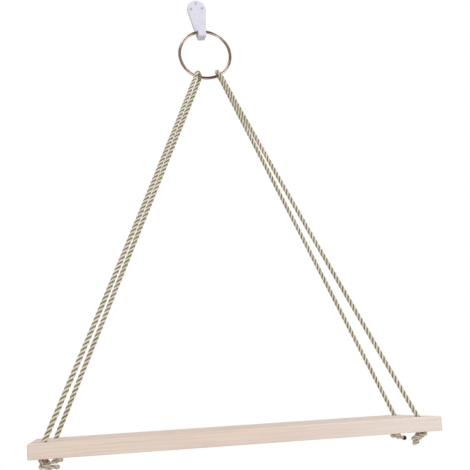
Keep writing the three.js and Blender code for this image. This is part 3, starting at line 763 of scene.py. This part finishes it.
class SHELF_OT_studio(bpy.types.Operator):
    """Sets a pale floor, a white background, soft lamps and the room that the metal mirrors"""
    bl_idname = 'shelf.studio'
    bl_label = 'Studio'

    def execute(self, context):
        settings = context.scene.rope_shelf_studio
        context.scene.view_settings.view_transform = 'Standard'
        world = bpy.data.worlds.new('studio')
        world.use_nodes = True
        context.scene.world = world
        tree = world.node_tree
        background, output = tree.nodes['Background'], tree.nodes['World Output']
        background.inputs['Color'].default_value = grey(1)
        background.inputs['Strength'].default_value = settings.ambient
        ray = add_node(tree, 'ShaderNodeLightPath')
        white = add_node(tree, 'ShaderNodeBackground', inputs={'Color': grey(1), 'Strength': 1})
        # Glossy rays see a white backdrop behind the shelf, two slanting strips of window light before it,
        # and a dim room
        sky = add_node(tree, 'ShaderNodeTexCoord')
        towards = add_node(tree, 'ShaderNodeSeparateXYZ', inputs={'Vector': sky.outputs['Generated']})
        backdrop = add_node(tree, 'ShaderNodeMapRange', inputs={
            'Value': towards.outputs['Y'], 'From Min': BACKDROP_START, 'From Max': BACKDROP_FULL})
        from_axis = add_node(tree, 'ShaderNodeVectorMath', {'operation': 'SUBTRACT'}, {
            0: sky.outputs['Generated'], 1: ROOM_AXIS})
        upright = add_node(tree, 'ShaderNodeVectorMath', TIMES, {0: from_axis, 1: (1, 0, 1)})
        bearing = add_node(tree, 'ShaderNodeVectorMath', {'operation': 'NORMALIZE'}, {0: upright})
        asides = [
            add_node(tree, 'ShaderNodeVectorMath', {'operation': 'DOT_PRODUCT'}, {
                0: bearing, 1: (math.sin(slant), 0, -math.cos(slant))})
            for slant in (math.radians(degrees) for degrees in STRIP_SLANTS)]
        both = add_node(tree, 'ShaderNodeMath', TIMES, {0: asides[0], 1: asides[1]})
        aside = add_node(tree, 'ShaderNodeMath', {'operation': 'ABSOLUTE'}, {0: both})
        strips = add_node(tree, 'ShaderNodeMapRange', inputs={
            'Value': aside, 'From Min': STRIP_EDGE, 'From Max': STRIP_FULL})
        front, rear = [
            add_node(tree, 'ShaderNodeMapRange', inputs={
                'Value': towards.outputs['Y'], 'From Min': edge, 'From Max': full})
            for edge, full in ((FRONT_EDGE, FRONT_FULL), (REAR_EDGE, REAR_FULL))]
        strips_before = add_node(tree, 'ShaderNodeMath', TIMES, {0: strips, 1: front})
        window_light = add_node(tree, 'ShaderNodeMath', TIMES, {0: strips_before, 1: rear})
        across = add_node(tree, 'ShaderNodeSeparateXYZ', inputs={'Vector': bearing})
        level = add_node(tree, 'ShaderNodeMath', {'operation': 'ABSOLUTE'}, {0: across.outputs['X']})
        side_wall = add_node(tree, 'ShaderNodeMapRange', inputs={
            'Value': level, 'From Min': SIDES_START, 'From Max': SIDES_FULL})
        dim = add_node(tree, 'ShaderNodeMix', MIXED, {
            'Factor': side_wall,
            'A': with_alpha(settings.room_ends), 'B': with_alpha(settings.room_sides)})
        behind = add_node(tree, 'ShaderNodeMix', MIXED, {'Factor': backdrop, 'A': dim, 'B': grey(1)})
        around = add_node(tree, 'ShaderNodeMix', MIXED, {
            'Factor': window_light, 'A': behind, 'B': grey(settings.windows)})
        mirrored = add_node(tree, 'ShaderNodeBackground', inputs={'Color': around, 'Strength': 1})
        glossy = add_node(tree, 'ShaderNodeMixShader', inputs={
            0: ray.outputs['Is Glossy Ray'], 1: background, 2: mirrored})
        seen = add_node(tree, 'ShaderNodeMath', {'operation': 'MAXIMUM'}, {
            0: ray.outputs['Is Camera Ray'], 1: ray.outputs['Is Transmission Ray']})
        shown = add_node(tree, 'ShaderNodeMixShader', inputs={0: seen, 1: glossy, 2: white})
        tree.links.new(shown.outputs[0], output.inputs['Surface'])

        for name, (place, size, power) in LAMPS.items():
            lamp = bpy.data.lights.new(name, 'AREA')
            lamp.shape = 'SQUARE'
            lamp.size = size
            lamp.energy = power
            source = bpy.data.objects.new(name, lamp)
            source.location = place
            # The metal mirrors the room and not the lamps
            source.visible_glossy = False
            facing = Vector(LIT_POINT) - Vector(place)
            source.rotation_euler = facing.to_track_quat('-Z', 'Y').to_euler()
            context.scene.collection.objects.link(source)

        bpy.ops.mesh.primitive_plane_add(size=FLOOR_SIZE, location=FLOOR_PLACE)
        floor = start_piece('floor')
        bpy.ops.object.transform_apply(location=True)
        matt, tree, shader = new_material('matt studio floor')
        shader.inputs['Base Color'].default_value = with_alpha(settings.floor)
        shader.inputs['Roughness'].default_value = 0.9
        # Its edge fades into the white background
        from_middle = add_node(tree, 'ShaderNodeVectorMath', {'operation': 'LENGTH'}, {
            0: add_node(tree, 'ShaderNodeTexCoord').outputs['Object']})
        fade = add_node(tree, 'ShaderNodeMapRange', {'interpolation_type': 'SMOOTHSTEP'}, {
            'Value': from_middle, 'From Min': FADE_START, 'From Max': FADE_END})
        clear = add_node(tree, 'ShaderNodeBsdfTransparent')
        faded = add_node(tree, 'ShaderNodeMixShader', inputs={0: fade, 1: shader, 2: clear})
        tree.links.new(faded.outputs['Shader'], tree.nodes['Material Output'].inputs['Surface'])
        floor.data.materials.append(matt)
        return {'FINISHED'}


class SHELF_OT_plank(bpy.types.Operator):
    """Gives the plank its bare, sanded wood"""
    bl_idname = 'shelf.plank'
    bl_label = 'Plank'

    def execute(self, context):
        holes = [(x * MM, y * MM) for x, y in HOLES.values()]
        dress('plank', sanded_softwood(context.scene.rope_shelf_plank, holes))
        return {'FINISHED'}


# Half the length of each step of the ground weld, and how far the wire swells there, in millimetres
WELD_STEPS = ((1.9, 0.035), (0.8, 0.05))


class SHELF_OT_ring(bpy.types.Operator):
    """Bends the ring from round wire and leaves its ground butt weld under the hook's lip"""
    bl_idname = 'shelf.ring'
    bl_label = 'Ring'

    def execute(self, context):
        bpy.ops.object.select_all(action='DESELECT')
        bpy.ops.mesh.primitive_torus_add(
            major_radius=RING_RADIUS * MM, minor_radius=WIRE / 2 * MM, major_segments=180, minor_segments=28,
            location=RING_CENTRE * MM, rotation=(-(math.pi / 2 + RING_LEAN), 0, 0))
        ring = start_piece('polished_ring')
        bpy.ops.object.transform_apply(location=True, rotation=True, scale=True)
        weld = (RING_CENTRE - RING_RADIUS * RING_DOWN) * MM
        bpy.ops.object.mode_set(mode='EDIT')
        for reach, swell in WELD_STEPS:
            select_faces(ring, lambda centre, normal: (centre - weld).length < (WIRE / 2 + reach) * MM
                         and abs(centre.x - weld.x) < reach * MM)
            bpy.ops.transform.shrink_fatten(value=swell * MM)
        bpy.ops.object.mode_set(mode='OBJECT')
        bpy.ops.object.shade_smooth()
        finish_piece(ring, 'ring', polished_wire(context.scene.rope_shelf_metal), 'ring', 'metal_ring')
        return {'FINISHED'}


# Two points of the hook's solid closer than this, in metres, are one, and the passes that round its edges
SAME_POINT, FILLET_PASSES = 1e-6, 7


class SHELF_OT_hook(bpy.types.Operator):
    """Moulds the hook's skin over its solid, with soft fillets where its parts meet"""
    bl_idname = 'shelf.hook'
    bl_label = 'Hook'

    def execute(self, context):
        settings = context.scene.rope_shelf_hook
        bpy.ops.object.select_all(action='DESELECT')
        hook = bpy.data.objects.new('moulded_hook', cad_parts['wall_hook'].data.copy())
        context.scene.collection.objects.link(hook)
        context.view_layer.objects.active = hook
        hook.select_set(True)
        bpy.ops.object.mode_set(mode='EDIT')
        bpy.ops.mesh.select_all(action='SELECT')
        bpy.ops.mesh.remove_doubles(threshold=SAME_POINT)
        bpy.ops.object.mode_set(mode='OBJECT')
        hook.data.remesh_voxel_size = settings.voxel
        bpy.ops.object.voxel_remesh()
        soften = hook.modifiers.new('fillets', 'SMOOTH')
        soften.factor = 0.5
        soften.iterations = FILLET_PASSES
        bpy.ops.object.modifier_apply(modifier='fillets')
        bpy.ops.object.shade_smooth()
        finish_piece(hook, 'hook', moulded_plastic(settings), 'hook', 'wall_hook')
        return {'FINISHED'}


# A nail's point and its head, in steps: each step's share of the length, and its end's share of its
# start's width
POINT_STEPS = ((0.8, 0.28), (0.2, 0.2))
HEAD_STEPS = ((0, NAIL_HEAD / NAIL_SHANK), (0.5, 1), (0.3, 0.88), (0.2, 0.72))
# Edges sharper than this angle, in degrees, stay sharp in the shading
SHARP_ANGLE = 38


class SHELF_OT_nails(bpy.types.Operator):
    """Turns one nail, with a domed head and a drawn point, and copies it to its three places"""
    bl_idname = 'shelf.nails'
    bl_label = 'Nails'

    def execute(self, context):
        material = zinc_coat(context.scene.rope_shelf_metal)
        head_back = -(PLATE + SEAT_GAP)
        shank_end = NAIL_REACH - NAIL_POINT
        bpy.ops.object.select_all(action='DESELECT')
        bpy.ops.mesh.primitive_cylinder_add(
            vertices=32, radius=NAIL_SHANK / 2 * MM, depth=(shank_end - head_back) * MM,
            location=(0, (shank_end + head_back) / 2 * MM, 0), rotation=(math.pi / 2, 0, 0))
        nail = start_piece('nail_model')
        bpy.ops.object.transform_apply(location=True, rotation=True, scale=True)
        bpy.ops.object.mode_set(mode='EDIT')
        for way, y, length, steps in (
                (1, shank_end, NAIL_POINT, POINT_STEPS), (-1, head_back, NAIL_HEAD_THICKNESS, HEAD_STEPS)):
            select_faces(nail, lambda centre, normal: normal.y * way > 0.9)
            for share, width in steps:
                rise = way * length * share
                y += rise
                bpy.ops.mesh.extrude_region_move(TRANSFORM_OT_translate={'value': (0, rise * MM, 0)})
                bpy.ops.transform.resize(value=(width, 1, width), center_override=(0, y * MM, 0))
        bpy.ops.object.mode_set(mode='OBJECT')
        bpy.ops.object.shade_smooth_by_angle(angle=math.radians(SHARP_ANGLE))
        tilt = Matrix.Rotation(-HOOK_TILT, 3, 'Y')
        for name, (x, z) in NAIL_PLACES.items():
            bpy.ops.object.select_all(action='DESELECT')
            nail.select_set(True)
            context.view_layer.objects.active = nail
            bpy.ops.object.duplicate()
            copy = start_piece('bright_' + name)
            at_hook = CROWN_CENTRE + tilt @ (Vector((x, 0, z)) - CROWN_CENTRE)
            bpy.ops.transform.translate(value=(at_hook.x * MM, 0, at_hook.z * MM))
            bpy.ops.object.transform_apply(location=True)
            finish_piece(copy, 'hook', material, 'nails', name)
        bpy.data.objects.remove(nail)
        return {'FINISHED'}


class SHELF_PT_panel(bpy.types.Panel):
    bl_label = 'Rope shelf'
    bl_space_type = 'VIEW_3D'
    bl_region_type = 'UI'
    bl_category = 'Rope shelf'

    def draw(self, context):
        column = self.layout.column()
        for operator in OPERATORS:
            column.operator(operator.bl_idname)
        for group in SETTINGS:
            box = self.layout.box()
            values = getattr(context.scene, group)
            for name in values.bl_rna.properties.keys():
                if name not in ('rna_type', 'name'):
                    box.prop(values, name)


OPERATORS = (SHELF_OT_camera, SHELF_OT_ropes, SHELF_OT_studio, SHELF_OT_plank,
             SHELF_OT_ring, SHELF_OT_hook, SHELF_OT_nails)
SETTINGS = {
    'rope_shelf_plank': PlankSettings,
    'rope_shelf_rope': RopeSettings,
    'rope_shelf_hook': HookSettings,
    'rope_shelf_metal': MetalSettings,
    'rope_shelf_studio': StudioSettings,
}


def register():
    for group, kind in SETTINGS.items():
        bpy.utils.register_class(kind)
        setattr(bpy.types.Scene, group, PointerProperty(type=kind))
    for kind in (*OPERATORS, SHELF_PT_panel):
        bpy.utils.register_class(kind)


def unregister():
    for kind in (SHELF_PT_panel, *reversed(OPERATORS)):
        bpy.utils.unregister_class(kind)
    for group, kind in SETTINGS.items():
        delattr(bpy.types.Scene, group)
        bpy.utils.unregister_class(kind)


def main():
    register()
    bpy.ops.shelf.camera()
    bpy.ops.shelf.ropes()
    bpy.ops.shelf.plank()
    bpy.ops.shelf.ring()
    bpy.ops.shelf.hook()
    bpy.ops.shelf.nails()
    bpy.ops.shelf.studio()


if __name__ == "__main__":
    main()
